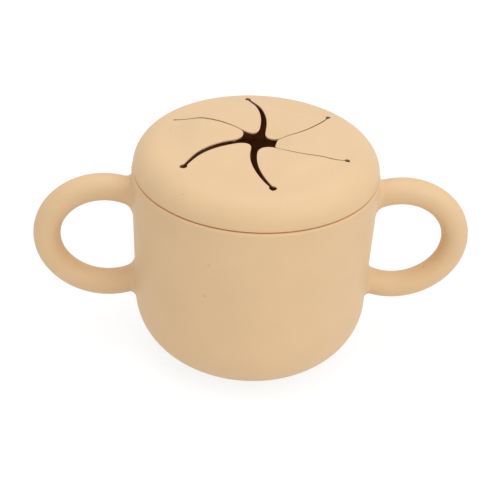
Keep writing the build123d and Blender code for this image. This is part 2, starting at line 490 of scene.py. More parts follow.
def root_loop(numbers, top, bottom, column, downwards):
    """The wall's points round the opening for a handle's root, as one ring.

    It starts in the middle of the side that the ring's outside faces, and runs towards +Y."""
    columns = [(column + k) % CUP_COLUMNS for k in range(-ROOT_HALF, ROOT_HALF + 1)]
    far, near = (bottom, top) if downwards else (top, bottom)
    step = 1 if near > far else -1
    loop = [(far, c) for c in columns[ROOT_HALF:-1]]
    loop += [(row, columns[-1]) for row in range(far, near, step)]
    loop += [(near, c) for c in columns[:0:-1]]
    loop += [(row, columns[0]) for row in range(near, far, -step)]
    loop += [(far, c) for c in columns[:ROOT_HALF]]
    return np.array([numbers[row, c] for row, c in loop])


def flared_root(wall_ring, bar_ring, distance):
    """Rings of points between a ring on the wall and one on the bar, on their shared surface."""
    shares = np.linspace(0, 1, ROOT_RINGS + 1)[:, None, None]
    rings = wall_ring * (1 - shares) + bar_ring * shares
    for _ in range(ROOT_ROUNDS):
        rings[1:-1] = settle(rings[1:-1], distance, 2)
        neighbours = rings[:-2] + rings[2:]
        neighbours = neighbours + np.roll(rings, 1, 1)[1:-1] + np.roll(rings, -1, 1)[1:-1]
        rings[1:-1] = (rings[1:-1] + neighbours / 4) / 2
    return settle(rings[1:-1], distance)


def cup_skin(cup, handles):
    """The cup with both handles as one closed skin."""
    outline = CupOutline(cup)
    ring = RingHandle(handles)
    skin = Skin()
    angles = np.arange(CUP_COLUMNS) * 2 * pi / CUP_COLUMNS

    # The outside, with four openings where the handles' roots go.
    outer = outline.outer_rows()
    numbers = skin.add(turned(outer, angles))
    upper_top = len(outer) - 1
    upper_bottom = upper_top - 2 * ROOT_HALF
    lower_middle = 2 * ring.centre[2] - outer[upper_top - ROOT_HALF][1]
    lower_bottom = int(np.argmin(np.abs(outer[:, 1] - lower_middle))) - ROOT_HALF
    lower_top = lower_bottom + 2 * ROOT_HALF
    open_rows = [*range(lower_bottom, lower_top), *range(upper_bottom, upper_top)]
    half_turn = CUP_COLUMNS // 2
    across_root = range(-ROOT_HALF, ROOT_HALF)
    open_columns = {(side + k) % CUP_COLUMNS for side in (0, half_turn) for k in across_root}
    for row in range(len(outer) - 1):
        low, high = numbers[row], numbers[row + 1]
        for k in range(CUP_COLUMNS):
            n = (k + 1) % CUP_COLUMNS
            if row not in open_rows or k not in open_columns:
                skin.faces.append((low[k], low[n], high[n], high[k]))

    # The base, the rim and the hollow.
    base = skin.add(turned([outer[0] * (share, 1) for share in BASE_RINGS], angles))
    skin.cap(base[0])
    skin.strips([*base, numbers[0]])
    mouth = (cup.rim_radius - cup.wall + cup.mouth_chamfer, cup.height)
    lead_in = cup.height - cup.mouth_chamfer
    lead_in = (outline.wall_radius(lead_in) - cup.wall, lead_in)
    inner_radius = cup.bottom_radius - cup.wall
    inner_x = outline.wall_radius(0) - cup.wall - inner_radius
    inner_x += (outline.up[0] / outline.up[1]) * inner_radius
    inner_z = cup.base_thickness + inner_radius
    inner_start = (outline.wall_radius(inner_z) - cup.wall, inner_z)
    inner_reach = inner_start[0] - inner_x
    stretch = inner_radius / inner_reach
    corner = arc((inner_x, inner_z), inner_reach, 0, -pi / 2, CORNER_FACES)[1:]
    rim_edge = arc(outline.rim_centre, cup.rim_edge_radius, outline.outward_angle, pi / 2,
                   EDGE_FACES)
    inside = np.concatenate(
        (
            rim_edge[1:],
            between((outline.rim_centre[0], cup.height), mouth, RIM_FACES),
            between(mouth, lead_in, LEAD_IN_FACES),
            between(lead_in, inner_start, INNER_FACES),
            corner * (1, stretch) + (0, inner_z * (1 - stretch)),
            [(inner_x * share, cup.base_thickness) for share in FLOOR_RINGS],
        )
    )
    hollow = skin.add(turned(inside, angles))
    skin.strips([numbers[-1], *hollow])
    skin.cap(hollow[-1])

    # The handles. The second is the first turned half round the cup.
    def distance(points):
        to_wall, to_bar = outline.distance(points), ring.distance(points)
        from_flare = [np.maximum(handles.flare - away, 0) for away in (to_wall, to_bar)]
        return np.maximum(handles.flare, np.minimum(to_wall, to_bar)) - np.hypot(*from_flare)

    def openings(column):
        """The wall's rings round the upper and the lower opening of one handle."""
        return (root_loop(numbers, upper_top, upper_bottom, column, downwards=False),
                root_loop(numbers, lower_top, lower_bottom, column, downwards=True))

    loop_size = 8 * ROOT_HALF
    around = np.arange(loop_size) * 2 * pi / loop_size
    bar = ring.rings(np.linspace(BAR_TURN, -BAR_TURN, BAR_RINGS), around)
    upper, lower = openings(0)
    upper_root = flared_root(skin.points[upper], bar[0], distance)
    lower_root = flared_root(skin.points[lower], bar[-1], distance)
    handle = np.concatenate((upper_root, bar, lower_root[::-1]))
    for column, side in ((0, 1), (half_turn, -1)):
        upper, lower = openings(column)
        skin.strips([upper, *skin.add(handle * (side, side, 1)), lower])
    return skin


# ------------------------------------------------------------------ the lid

LID_COLUMNS = 240                  # faces round the lid, a multiple of the petals
SECTOR = LID_COLUMNS // PETALS     # faces along one petal's root
TOP_ROWS, UNDER_ROWS = 15, 9       # rows of points next to the petals, above and below
UNDER_START = 0.9                  # where the lower ones begin, as a share of their way
BEAD_ROWS = 17                     # rows of points on a seal bead
# Faces along the shoulder, a small round, a small flat, the skirt's inside and the inner round.
SHOULDER_FACES, ROUND_FACES, FLAT_FACES, SKIRT_FACES, UNDER_FACES = 24, 6, 2, 8, 10
SHOULDER_START = radians(78)       # where round rows follow the six-sided ones, on the shoulder
UNDER_END = radians(70)            # the same on the inner round
FOOT_BEVEL = 0.15 * MM             # bevel on the inner edge of the skirt's foot


class LidOutline:
    """The lid's top and underside from the side, and where its slits and petals lie."""

    def __init__(self, cup, lid, slits):
        self.cup, self.lid, self.slits = cup, lid, slits
        self.crown_z = cup.height + lid.rise - lid.crown_radius
        self.shoulder_z = cup.height + lid.edge_height
        rise = self.shoulder_z - self.crown_z
        self.shoulder_radius = (lid.crown_radius**2 - lid.radius**2 - rise**2) / (
            2 * (lid.crown_radius - lid.radius)
        )
        self.shoulder_r = lid.radius - self.shoulder_radius
        self.crown_edge_r = lid.crown_radius * cos(atan2(rise, self.shoulder_r))
        self.skirt_inner_r = cup.rim_radius - cup.wall - lid.skirt_clearance - lid.skirt_thickness
        self.inner_r = self.skirt_inner_r - lid.inner_round
        under_reach = lid.crown_radius - lid.sheet
        self.inner_z = self.crown_z + sqrt((under_reach - lid.inner_round) ** 2 - self.inner_r**2)
        self.under_edge_r = self.inner_r * under_reach / (under_reach - lid.inner_round)
        self.chord_r = hypot(FIRST_HINGE.x, FIRST_HINGE.y)
        self.first_slit = atan2(FIRST_HINGE.y, FIRST_HINGE.x) - PETAL_TURN / 2
        self.hole_r = self.chord_r / cos(PETAL_TURN / 2)
        self.half_chord = self.chord_r * sin(PETAL_TURN / 2) / cos(PETAL_TURN / 2)
        self.root_r = self.chord_r + slits.root_outside

    def top(self, r):
        """Height of the outside at a radius, on the crown or the shoulder."""
        crown = self.crown_z + np.sqrt(self.lid.crown_radius**2 - r**2)
        across = np.clip(r - self.shoulder_r, 0, self.shoulder_radius)
        shoulder = self.shoulder_z + np.sqrt(self.shoulder_radius**2 - across**2)
        return np.where(r < self.crown_edge_r, crown, shoulder)

    def under(self, r):
        """Height of the underside at a radius, on the sheet or the inner round."""
        sheet = self.crown_z + np.sqrt((self.lid.crown_radius - self.lid.sheet) ** 2 - r**2)
        across = np.clip(r - self.inner_r, 0, self.lid.inner_round)
        corner = self.inner_z + np.sqrt(self.lid.inner_round**2 - across**2)
        return np.where(r < self.under_edge_r, sheet, corner)

    def skirt_radius(self, z):
        """The skirt's outside, which runs along the cup's inner wall."""
        return CupOutline(self.cup).wall_radius(z) - self.cup.wall - self.lid.skirt_clearance

    def petal_angle(self, petal):
        """Direction of a petal's middle line from the lid's middle."""
        return self.first_slit + PETAL_TURN * (petal + 0.5)

    def in_plan(self, petal, x, y):
        """A level shift in a petal's own plan, whose first axis is its middle line."""
        angle = self.petal_angle(petal)
        return np.array((x * cos(angle) + y * sin(angle), y * cos(angle) - x * sin(angle)))

    def star_shift(self, petal):
        """How far the star lies off the lid's middle, in a petal's plan."""
        return self.in_plan(petal, self.slits.star_shift, 0)

    def hole_shift(self, petal, slit):
        """How far a slit's hole lies off its even place, in a petal's plan."""
        return self.in_plan(petal, self.slits.hole_shift[slit], self.slits.hole_setback[slit])

    def root_points(self):
        """A petal's root line in its own plan, from its first slit to its second."""
        turn = np.linspace(-PETAL_TURN / 2, PETAL_TURN / 2, SECTOR + 1)
        return np.stack((np.full_like(turn, self.root_r), self.root_r * np.tan(turn)), -1)


def lid_skin(shape):
    """The lid without its petals: edge, shoulder, skirt with its seal beads, and the underside."""
    cup, lid = shape.cup, shape.lid
    skin = Skin()
    angles = shape.first_slit + np.arange(LID_COLUMNS) * 2 * pi / LID_COLUMNS
    across = (np.arange(LID_COLUMNS) % SECTOR) * PETAL_TURN / SECTOR - PETAL_TURN / 2
    mouth = shape.root_r / np.cos(across)

    def spread(outer_r, height, shares):
        """Rows from the six-sided mouth to a circle, on a surface given by its height."""
        radius = mouth * (1 - shares[:, None]) + outer_r * shares[:, None]
        return np.stack((radius * np.cos(angles), radius * np.sin(angles), height(radius)), -1)

    # The top and the underside next to the petals.
    turn_r = shape.shoulder_r + shape.shoulder_radius * cos(SHOULDER_START)
    top = spread(turn_r, shape.top, np.linspace(0, 1, TOP_ROWS))
    under_r = shape.inner_r + lid.inner_round * cos(UNDER_END)
    under = spread(under_r, shape.under, np.linspace(UNDER_START, 0, UNDER_ROWS))

    # The skirt's outside, which bulges at its two seal beads.
    skirt_foot_z = cup.height - lid.skirt_depth
    heights = [cup.height]
    bead = lid.bead_radius * np.cos(np.linspace(0, pi, BEAD_ROWS))
    for depth in lid.bead_depths:
        heights += list(cup.height - depth + bead)
    heights += [skirt_foot_z + lid.skirt_foot_round]
    outside = []
    for z in heights:
        reach = shape.skirt_radius(z)
        for depth in lid.bead_depths:
            away = z - (cup.height - depth)
            if abs(away) < lid.bead_radius:
                bead_centre = reach + lid.skirt_clearance - lid.bead_clearance - lid.bead_radius
                reach = max(reach, bead_centre + sqrt(lid.bead_radius**2 - away**2))
        outside.append((reach, z))

    # Everything that is round, from the shoulder down to the skirt's foot and up inside it.
    shoulder = (shape.shoulder_r, shape.shoulder_z)
    edge_bottom = cup.height + lid.parting_gap
    edge_r, edge_z = lid.radius - lid.edge_round, edge_bottom + lid.edge_round
    edge_turn = max(0, edge_z - shape.shoulder_z) / shape.shoulder_radius
    foot_r = shape.skirt_radius(skirt_foot_z)
    foot_inner_r = foot_r - lid.skirt_thickness
    foot_centre = (foot_r - lid.skirt_foot_round, skirt_foot_z + lid.skirt_foot_round)
    bevel_start = (foot_inner_r + FOOT_BEVEL, skirt_foot_z)
    inner_low = (foot_inner_r, skirt_foot_z + FOOT_BEVEL)
    inner_centre = (shape.inner_r, shape.inner_z)
    groove_end = edge_r - lid.parting_depth
    body = np.concatenate(
        (
            arc(shoulder, shape.shoulder_radius, SHOULDER_START, edge_turn, SHOULDER_FACES)[1:],
            arc((edge_r, edge_z), lid.edge_round, 0, -pi / 2, ROUND_FACES)[1:],
            between((edge_r, edge_bottom), (groove_end, edge_bottom), FLAT_FACES),
            [(groove_end - lid.parting_gap, cup.height)],
            outside,
            arc(foot_centre, lid.skirt_foot_round, 0, -pi / 2, ROUND_FACES)[1:],
            between((foot_centre[0], skirt_foot_z), bevel_start, FLAT_FACES),
            [inner_low],
            between(inner_low, (shape.skirt_inner_r, shape.inner_z), SKIRT_FACES),
            arc(inner_centre, lid.inner_round, 0, UNDER_END, UNDER_FACES)[1:],
        )
    )
    rows = [*skin.add(top), *skin.add(turned(body, angles)), *skin.add(under)]
    skin.strips([*rows, rows[0]])
    return skin


# ------------------------------------------------------------------ the petals

FINE = 0.05 * MM                   # step used while an outline is worked out
SIDE_POINTS, TIP_POINTS = 800, 150 # points that a petal's sides and its tip are drawn with
PAST_MIDDLE = 0.25                 # how far the sides run past the middle, as a share of a slit
CHAIN_STEP = 0.32 * MM             # length of a face along a cut edge
EDGE_TURNS = np.radians((30, 60, 90))       # where the rows of a cut edge's round lie
EDGE_MARGIN = 0.5 * MM             # width of the row of faces along a cut edge
ROOT_MARGIN = 0.24 * MM            # width of the row of faces along a root
BEND_ROW = 0.28 * MM               # width of a row of faces where a petal bends
WIDE_ROW = 0.75 * MM               # the same beyond
POINT_STEP = 0.7 * MM              # distance between points in a row
SPARE = 1 * MM                     # how much further than needed the rows and their points run
HOLE_CORNER = 0.5 * MM             # reach of the rounding where a slit leaves its hole
CLOSED_WIDTH = 1 * MM              # a slit narrower than this at the star is a closed one
LEAST_HALF = 3 * MM                # least half width that a petal's tilt is spread over
TIP_BEND = 5 * MM                  # length over which a petal's tip begins to hang
LIFT_SKEW = 0.7                    # under 1, a petal is highest nearer to its root than its tip


def normals_of(chain):
    """Unit vectors to the left of a chain of plan points."""
    along = np.gradient(chain, axis=0)
    along /= np.linalg.norm(along, axis=1)[:, None]
    return np.stack((-along[:, 1], along[:, 0]), -1)


def evenly(chain, step):
    """The same chain with its points about one step apart."""
    lengths = np.concatenate(([0], np.cumsum(np.linalg.norm(np.diff(chain, axis=0), axis=1))))
    wanted = np.linspace(0, lengths[-1], max(2, round(lengths[-1] / step) + 1))
    return np.stack([np.interp(wanted, lengths, chain[:, k]) for k in range(2)], -1)


def softened(chain, reach):
    """The chain with its corners rounded over a reach, its ends kept."""
    for _ in range(round((reach / FINE) ** 2 / 2)):
        chain[1:-1] = (chain[:-2] + 2 * chain[1:-1] + chain[2:]) / 4
    return chain


def slit_beside(petal, side):
    """The slit at a petal's counter-clockwise side, 1, or at its other side, -1."""
    return (petal + (side > 0)) % PETALS


def slit_side(shape, petal, side):
    """One side of a petal, from its slit's end hole to past the lid's middle."""
    slits = shape.slits
    slit = slit_beside(petal, side)
    shares = np.linspace(1, -PAST_MIDDLE, SIDE_POINTS)
    widths = slits.width_at_middle[slit] * (1 - shares) + slits.width_at_hole[slit] * shares
    bow = 4 * slits.bulge * shares * (1 - shares) + slits.sway[slit] * (1 - shares)
    bow = bow + side * widths / 2
    reach = shape.hole_r * shares
    along_x, along_y = cos(PETAL_TURN / 2), side * sin(PETAL_TURN / 2)
    edge = np.stack((reach * along_x + bow * along_y, reach * along_y - bow * along_x), -1)
    shares = shares[:, None]
    return edge + shape.star_shift(petal) * (1 - shares) + shape.hole_shift(petal, slit) * shares


def petal_chain(shape, petal):
    """A petal's free edge: round its first hole, along a slit, round the tip and back.

    It starts at the hole on the petal's counter-clockwise side."""
    slits = shape.slits
    middle = shape.star_shift(petal)
    holes, flanks = {}, {}
    for side in (1, -1):
        slit = slit_beside(petal, side)
        hole = np.array((shape.chord_r, side * shape.half_chord)) + shape.hole_shift(petal, slit)
        hole_radius = slits.hole_radius[slit]
        edge = slit_side(shape, petal, side)
        edge = edge[np.argmax(np.linalg.norm(edge - hole, axis=1) > hole_radius):]
        outwards = shape.root_points()[-1 if side > 0 else 0] - hole
        start = edge[0] - hole
        from_angle = atan2(outwards[1], outwards[0])
        to_angle = atan2(start[1], start[0])
        if side * (to_angle - from_angle) > 0:
            to_angle -= side * 2 * pi
        count = round(abs(to_angle - from_angle) * hole_radius / FINE)
        holes[side] = arc(hole, hole_radius, from_angle, to_angle, count)
        in_star = np.linalg.norm(edge - middle, axis=1) < slits.arm_reach[slit]
        flanks[side] = edge[: np.argmax(in_star) + 1]
    # The tip: a bow between the points where the two slits open into the star.
    start, end = flanks[1][-1], flanks[-1][-1]
    inwards = middle - (start + end) / 2
    bow = 1 - slits.tip_distance[petal] / np.linalg.norm(inwards)
    shares = np.linspace(0, 1, TIP_POINTS)[:, None]
    tip = start * (1 - shares) + end * shares + inwards * bow * 4 * shares * (1 - shares)
    flap = evenly(np.concatenate((flanks[1][:-1], tip, flanks[-1][-2::-1])), FINE)
    flap = softened(flap, slits.corner_round)
    chain = evenly(np.concatenate((holes[1], flap[1:-1], holes[-1][::-1])), FINE)
    return evenly(softened(chain, HOLE_CORNER), CHAIN_STEP)


def fill(outline, inner):
    """Triangles that fill a closed outline, with the inner points as corners too."""
    points = [Vector(point) for point in np.concatenate((outline, inner)) / MM]
    loop = [list(range(len(outline)))]
    made, _, triangles, sources, _, _ = delaunay_2d_cdt(points, [], loop, 1, 0.0)
    if len(made) != len(points):
        raise RuntimeError("a petal's outline crosses itself")
    return [tuple(sources[k][0] for k in triangle) for triangle in triangles]


def inner_points(shape, cut, root):
    """Points inside a petal: close rows where it bends, wider ones towards its tip."""
    slits = shape.slits
    bend = slits.root_outside + slits.root_inside
    rows = list(shape.root_r - np.arange(BEND_ROW, bend + SPARE, BEND_ROW))
    while rows[-1] > -2 * SPARE:
        rows.append(rows[-1] - WIDE_ROW)
    half = shape.half_chord + SPARE
    points = []
    for k, x in enumerate(rows):
        y = np.arange(-half, half, POINT_STEP) + (POINT_STEP / 2 if k % 2 else 0)
        points.append(np.stack((np.full_like(y, x), y), -1))
    points = np.concatenate(points)
    near = np.zeros(len(points), bool)
    for line, margin in ((cut, EDGE_MARGIN), (root, ROOT_MARGIN)):
        near |= np.linalg.norm(points[:, None] - line[None], axis=-1).min(1) < margin
    outline = np.concatenate((cut, root))
    crossings = np.zeros(len(points), int)
    for (x0, y0), (x1, y1) in zip(outline, np.roll(outline, -1, 0)):
        spans = (y0 > points[:, 1]) != (y1 > points[:, 1])
        with np.errstate(divide="ignore", invalid="ignore"):
            crossing_x = x0 + (points[:, 1] - y0) * (x1 - x0) / (y1 - y0)
        crossings += spans & (points[:, 0] < crossing_x)
    return points[(crossings % 2 == 1) & ~near]


def petal_skin(shape, petal):
    """One petal as a closed skin, bent to its belly, with round cut edges."""
    slits = shape.slits
    root = shape.root_points()
    chain = petal_chain(shape, petal)
    left = normals_of(chain)
    for end, corner in ((0, -1), (-1, 0)):
        left[end] = (chain[end] - root[corner]) / np.linalg.norm(chain[end] - root[corner])
    inset = chain - left * slits.edge_round
    outline = np.concatenate((inset, root))
    inner = inner_points(shape, inset, root)
    triangles = fill(outline, inner)
    angle = shape.petal_angle(petal)
    turn = np.array(((cos(angle), sin(angle)), (-sin(angle), cos(angle))))
    shifts = [shape.hole_shift(petal, slit_beside(petal, side))[0] for side in (-1, 1)]
    tips = [slits.tip_lift[petal]] * 3
    for side, end in ((-1, 0), (1, 2)):
        # Across a closed slit two petals lie against each other, so their edges share a height.
        if slits.width_at_middle[slit_beside(petal, side)] < CLOSED_WIDTH:
            tips[end] = (slits.tip_lift[petal] + slits.tip_lift[(petal + side) % PETALS]) / 2

    def lifted(plan, surface, drop=0.0):
        """Plan points put on the top or the underside and turned to the petal's place."""
        half = np.maximum(plan[:, 0] * tan(PETAL_TURN / 2), LEAST_HALF)
        along = np.clip(plan[:, 0] / shape.chord_r, 0, 1)
        bow = 4 * slits.bulge * along * (1 - along)
        sideways = np.clip((plan[:, 1] + bow * cos(PETAL_TURN / 2)) / half, -1, 1)
        share = smooth(0.5 + sideways / 2)
        hole_x = shape.chord_r + shifts[0] * (1 - share) + shifts[1] * share
        depth = hole_x - plan[:, 0] + bow * sin(PETAL_TURN / 2) * sideways
        lift = slits.first_lift[petal] * (1 - share) + slits.second_lift[petal] * share
        radius = np.hypot(plan[:, 0], plan[:, 1])
        inwards = np.clip((shape.hole_r - radius) / (shape.hole_r - slits.lift_end), 0, 1)
        lift = lift * np.sin(pi * inwards**LIFT_SKEW) * smooth(depth / slits.lift_start)
        tip = np.interp(sideways, (-1, 0, 1), tips) * smooth((slits.tip_start - radius) / TIP_BEND)
        height = surface(radius) + lift + tip - drop
        return np.concatenate((plan @ turn, height[:, None]), 1)

    skin = Skin()
    count = len(chain)
    plan = np.concatenate((outline, inner))
    top = skin.add(lifted(plan, shape.top))
    thinned = np.where(np.arange(len(plan)) < count, slits.edge_thinning, 0)
    low = skin.add(lifted(plan, shape.under, -thinned))
    for side in (top, low):
        skin.faces += [tuple(side[k] for k in triangle) for triangle in triangles]
    # The cut edge: a quarter round down from the top and one up from the thinned underside.
    rows = [top[:count]]
    for surface, turns, way, thinning in (
        (shape.top, EDGE_TURNS, 1, 0),
        (shape.under, EDGE_TURNS[::-1], -1, slits.edge_thinning),
    ):
        for turned_by in turns:
            edge = inset + left * (slits.edge_round * sin(turned_by))
            sunk = slits.edge_round * (1 - cos(turned_by))
            rows.append(skin.add(lifted(edge, surface, way * sunk - thinning)))
    rows.append(low[:count])
    skin.strips(rows, closed=False)
    skin.strip(top[count:len(outline)], low[count:len(outline)], closed=False)
    # The two short flanks where the petal meets its neighbours beyond the holes.
    for end, corner in ((0, len(outline) - 1), (count - 1, count)):
        column = [int(row[end]) for row in rows]
        skin.faces.append((*column, int(low[corner]), int(top[corner])))
    return skin


# ------------------------------------------------------------------ materials

# The scale and detail of each noise that the silicone's surface is made of.
DRIFT_NOISE, GRAIN_NOISE, GLOSS_NOISE = (70.0, 3.0), (1500.0, 2.0), (110.0, 2.0)
BROAD_RELIEF = ((160.0, 1.0), 0.12, 0.25 * MM)      # noise, strength and depth of each relief
FINE_RELIEF = ((2600.0, 3.0), 0.14, 0.03 * MM)
GLOSS_SPREAD = 0.05                # how far the roughness strays from its setting
REFRACTIVE_INDEX = 1.41
SHEEN_ROUGHNESS, SHEEN_TINT = 0.45, (1.0, 0.93, 0.87, 1.0)
SPECK_SCALE = 95.0                 # specks of dust: how close the points lie that they sit on,
SPECK_EDGE = (0.05, 0.025)         # where a speck begins and is full, as a share of their spacing
SPECK_STRENGTH = 0.3
GRAIN_TINT = (0.97, 0.955, 0.94)   # what the silicone's colour is multiplied by in its grain,
DUST_TINT = (0.45, 0.4, 0.35)      # at a speck of dust,
CUP_PAINTED_SHADE_TINT = (1.15, 0.8, 0.66)         # in the cup, as painted warm shade,
LID_PAINTED_SHADE_TINT = (1.2, 0.62, 0.42)         # on the lid's underside, as painted warm shade,
CUT_PAINTED_SHADE_TINT = (0.3, 0.12, 0.05)       # on the walls of the cuts, as painted shade,
LIP_PAINTED_SHADE_TINT = (0.95, 0.7, 0.4)        # and where the lid's lip meets the cup's rim, as painted shade
HOLLOW_REACH = 100 * MM            # how far the view is looked along, for painted shade, to tell a hollow,
CUT_REACH = 5 * MM                 # a cut
LIP_REACH = 2 * MM                 # and the lip
LIP_OPENNESS = 0.9                 # openness under which the lip's painted shade deepens
# Where each painted shade begins and is full, so that it keeps to its own place.
HOLLOW_FADE = 0.3 * MM             # the hollow's: over this much of the radius, and where
FACING_DOWN = (-0.5, -0.9)         # the surface faces down by the upward part of its normal,
UNDER_TOP = (8 * MM, 7 * MM)       # or lies lower than the lid's top, by its height over the rim
CUT_HEIGHTS = (1.5 * MM, 2.5 * MM)          # the cuts': by the height over the rim
LIP_HEIGHTS = (0.7 * MM, 0.4 * MM)          # the lip's: by the distance from the rim's height,
LIP_WIDTH = 1.1 * MM               # from this far inwards of the rim's edge
LIP_FADE = 0.2 * MM                # and over this much of the radius


class Nodes:
    """Adds and joins the nodes of one material or world."""

    def __init__(self, owner):
        owner.use_nodes = True
        self.tree = owner.node_tree
        self.tree.nodes.clear()

    def add(self, kind, inputs, **settings):
        """A node with its settings. An input takes a number, a colour or a node's output."""
        node = self.tree.nodes.new(kind)
        for name, value in settings.items():
            setattr(node, name, value)
        for name, value in inputs.items():
            if isinstance(value, bpy.types.NodeSocket):
                self.tree.links.new(value, node.inputs[name])
            else:
                node.inputs[name].default_value = value
        return node

    def math(self, operation, *values):
        """What a Math node makes of its values."""
        node = self.add("ShaderNodeMath", dict(enumerate(values)), operation=operation)
        return node.outputs["Value"]

    def upward(self, vector):
        """The Z part of a vector."""
        return self.add("ShaderNodeSeparateXYZ", {"Vector": vector}).outputs["Z"]

    def ramp(self, value, low, high, top=1.0, **settings):
        """0 where the value is low, and the top where it is high."""
        inputs = {"Value": value, "From Min": low, "From Max": high, "To Max": top}
        return self.add("ShaderNodeMapRange", inputs, **settings).outputs["Result"]

    def mix(self, share, tone, tint, **settings):
        """A tone mixed with a share of a tint."""
        inputs = {"Factor": share, "A": tone, "B": (*tint, 1)}
        node = self.add("ShaderNodeMix", inputs, data_type="RGBA", **settings)
        return node.outputs["Result"]

    def show(self, output, lighting, seen):
        """Ends with one shader for the rays that carry light about and one for what is seen."""
        rays = self.add("ShaderNodeLightPath", {}).outputs
        direct = self.math("MAXIMUM", rays["Is Camera Ray"], rays["Is Glossy Ray"])
        direct = self.math("MAXIMUM", direct, rays["Is Transmission Ray"])
        inputs = {0: direct, 1: lighting.outputs[0], 2: seen.outputs[0]}
        choice = self.add("ShaderNodeMixShader", inputs)
        self.add(output, {"Surface": choice.outputs["Shader"]})


def silicone(name, colour, hollow, hollow_shade_tint, within, look, cup, cuts=False):
    """Matt moulded silicone: drifting pigment, a fine mould texture and a few specks of dust.

    It has painted shade in the hollow, which lies within a radius, in the cuts and at the lip."""
    material = bpy.data.materials.new(name)
    nodes = Nodes(material)
    coordinates = nodes.add("ShaderNodeTexCoord", {})
    place = coordinates.outputs["Object"]
    base = np.array(colour)

    def noise(scale, detail):
        inputs = {"Vector": place, "Scale": scale, "Detail": detail}
        return nodes.add("ShaderNodeTexNoise", inputs).outputs["Fac"]

    # Pigment: broad drifts and a fine grain, both only a few percent.
    dark = (*(base * (1 - look.mottle)), 1)
    tone = nodes.mix(noise(*DRIFT_NOISE), dark, np.minimum(base * (1 + look.mottle), 1))
    tone = nodes.mix(noise(*GRAIN_NOISE), tone, GRAIN_TINT, blend_type="MULTIPLY")

    # Dust: small dots round a few of the scattered points that lie in the surface.
    dots = nodes.add("ShaderNodeTexVoronoi", {"Vector": place, "Scale": SPECK_SCALE})
    dust = nodes.ramp(
        dots.outputs["Distance"], *SPECK_EDGE, SPECK_STRENGTH, interpolation_type="SMOOTHSTEP"
    )
    tone = nodes.mix(dust, tone, base * DUST_TINT)

    # Painted shade: the hollow is painted warmer and darker, for light comes to it off more
    # silicone.
    # The walls of the cuts are painted darker where they face each other, and the lip where it
    # meets the rim.
    def painted_shade(tint, openness, reach, where, alone=False):
        """The tone mixed with its tint, a painted shade, where less than a share of the view around
        is open.
        """
        view = nodes.add(
            "ShaderNodeAmbientOcclusion", {"Distance": reach}, samples=12, only_local=alone
        )
        shade_share = nodes.ramp(
            view.outputs["AO"], openness, openness / 2, where, interpolation_type="SMOOTHSTEP"
        )
        return nodes.mix(shade_share, tone, base * tint)

    level = nodes.add("ShaderNodeVectorMath", {0: place, 1: (1, 1, 0)}, operation="MULTIPLY")
    radius = nodes.add("ShaderNodeVectorMath", {0: level.outputs["Vector"]}, operation="LENGTH")
    radius = radius.outputs["Value"]
    height = nodes.math("SUBTRACT", nodes.upward(place), cup.height)
    facing_down = nodes.ramp(nodes.upward(coordinates.outputs["Normal"]), *FACING_DOWN)
    below = nodes.math("MAXIMUM", facing_down, nodes.ramp(height, *UNDER_TOP))
    inside = nodes.ramp(radius, within, within - HOLLOW_FADE)
    hollow_shade_mask = nodes.math("MULTIPLY", inside, below)
    # Painted warm shade in the hollow.
    tone = painted_shade(hollow_shade_tint, hollow, HOLLOW_REACH, hollow_shade_mask, alone=True)
    # Painted shade on the walls of the cuts.
    if cuts:
        tone = painted_shade(CUT_PAINTED_SHADE_TINT, look.cut_painted_shade, CUT_REACH, nodes.ramp(height, *CUT_HEIGHTS))
    # Painted shade where the lid's lip meets the cup's rim.
    lip_r = cup.rim_radius - LIP_WIDTH
    at_rim = nodes.ramp(nodes.math("ABSOLUTE", height), *LIP_HEIGHTS)
    lip = nodes.math("MULTIPLY", at_rim, nodes.ramp(radius, lip_r, lip_r + LIP_FADE))
    tone = painted_shade(LIP_PAINTED_SHADE_TINT, LIP_OPENNESS, LIP_REACH, lip)

    # Gloss: a little smoother where the mould was polished by use.
    inputs = {"Value": noise(*GLOSS_NOISE), "To Min": look.roughness - GLOSS_SPREAD,
              "To Max": look.roughness + GLOSS_SPREAD}
    gloss = nodes.add("ShaderNodeMapRange", inputs)

    # Relief: the mould's eroded texture over a faint, broad unevenness.
    def relief(texture, strength, depth, **under):
        inputs = {"Height": noise(*texture), "Strength": strength, "Distance": depth, **under}
        return nodes.add("ShaderNodeBump", inputs).outputs["Normal"]

    inputs = {
        "Base Color": tone,
        "Roughness": gloss.outputs["Result"],
        "IOR": REFRACTIVE_INDEX,
        "Normal": relief(*FINE_RELIEF, Normal=relief(*BROAD_RELIEF)),
        "Sheen Weight": look.sheen,
        "Sheen Roughness": SHEEN_ROUGHNESS,
        "Sheen Tint": SHEEN_TINT,
    }
    shader = nodes.add("ShaderNodeBsdfPrincipled", inputs)
    nodes.add("ShaderNodeOutputMaterial", {"Surface": shader.outputs["BSDF"]})
    return material


FLOOR_TONE = (0.9, 0.9, 0.9, 1)    # what the floor gives back to the cup,
SHADOW_TONE = (0.2, 0.2, 0.2, 1)   # and what is seen of it: a dim floor that shows the shadow
FLOOR_GLOW = 0.84                  # with this much light of its own
WHITE = (1, 1, 1, 1)
ROOM_COLOUR = (1, 0.97, 0.92, 1)   # of the light that comes from all round


def white_floor():
    """A floor that reads as white, with the soft shadow still on it."""
    material = bpy.data.materials.new("white_floor")
    nodes = Nodes(material)
    plain = nodes.add("ShaderNodeBsdfDiffuse", {"Color": FLOOR_TONE})
    shaded = nodes.add("ShaderNodeBsdfDiffuse", {"Color": SHADOW_TONE})
    glow = nodes.add("ShaderNodeEmission", {"Strength": FLOOR_GLOW})
    both = nodes.add("ShaderNodeAddShader", {0: shaded.outputs[0], 1: glow.outputs[0]})
    nodes.show("ShaderNodeOutputMaterial", plain, both)
    return material


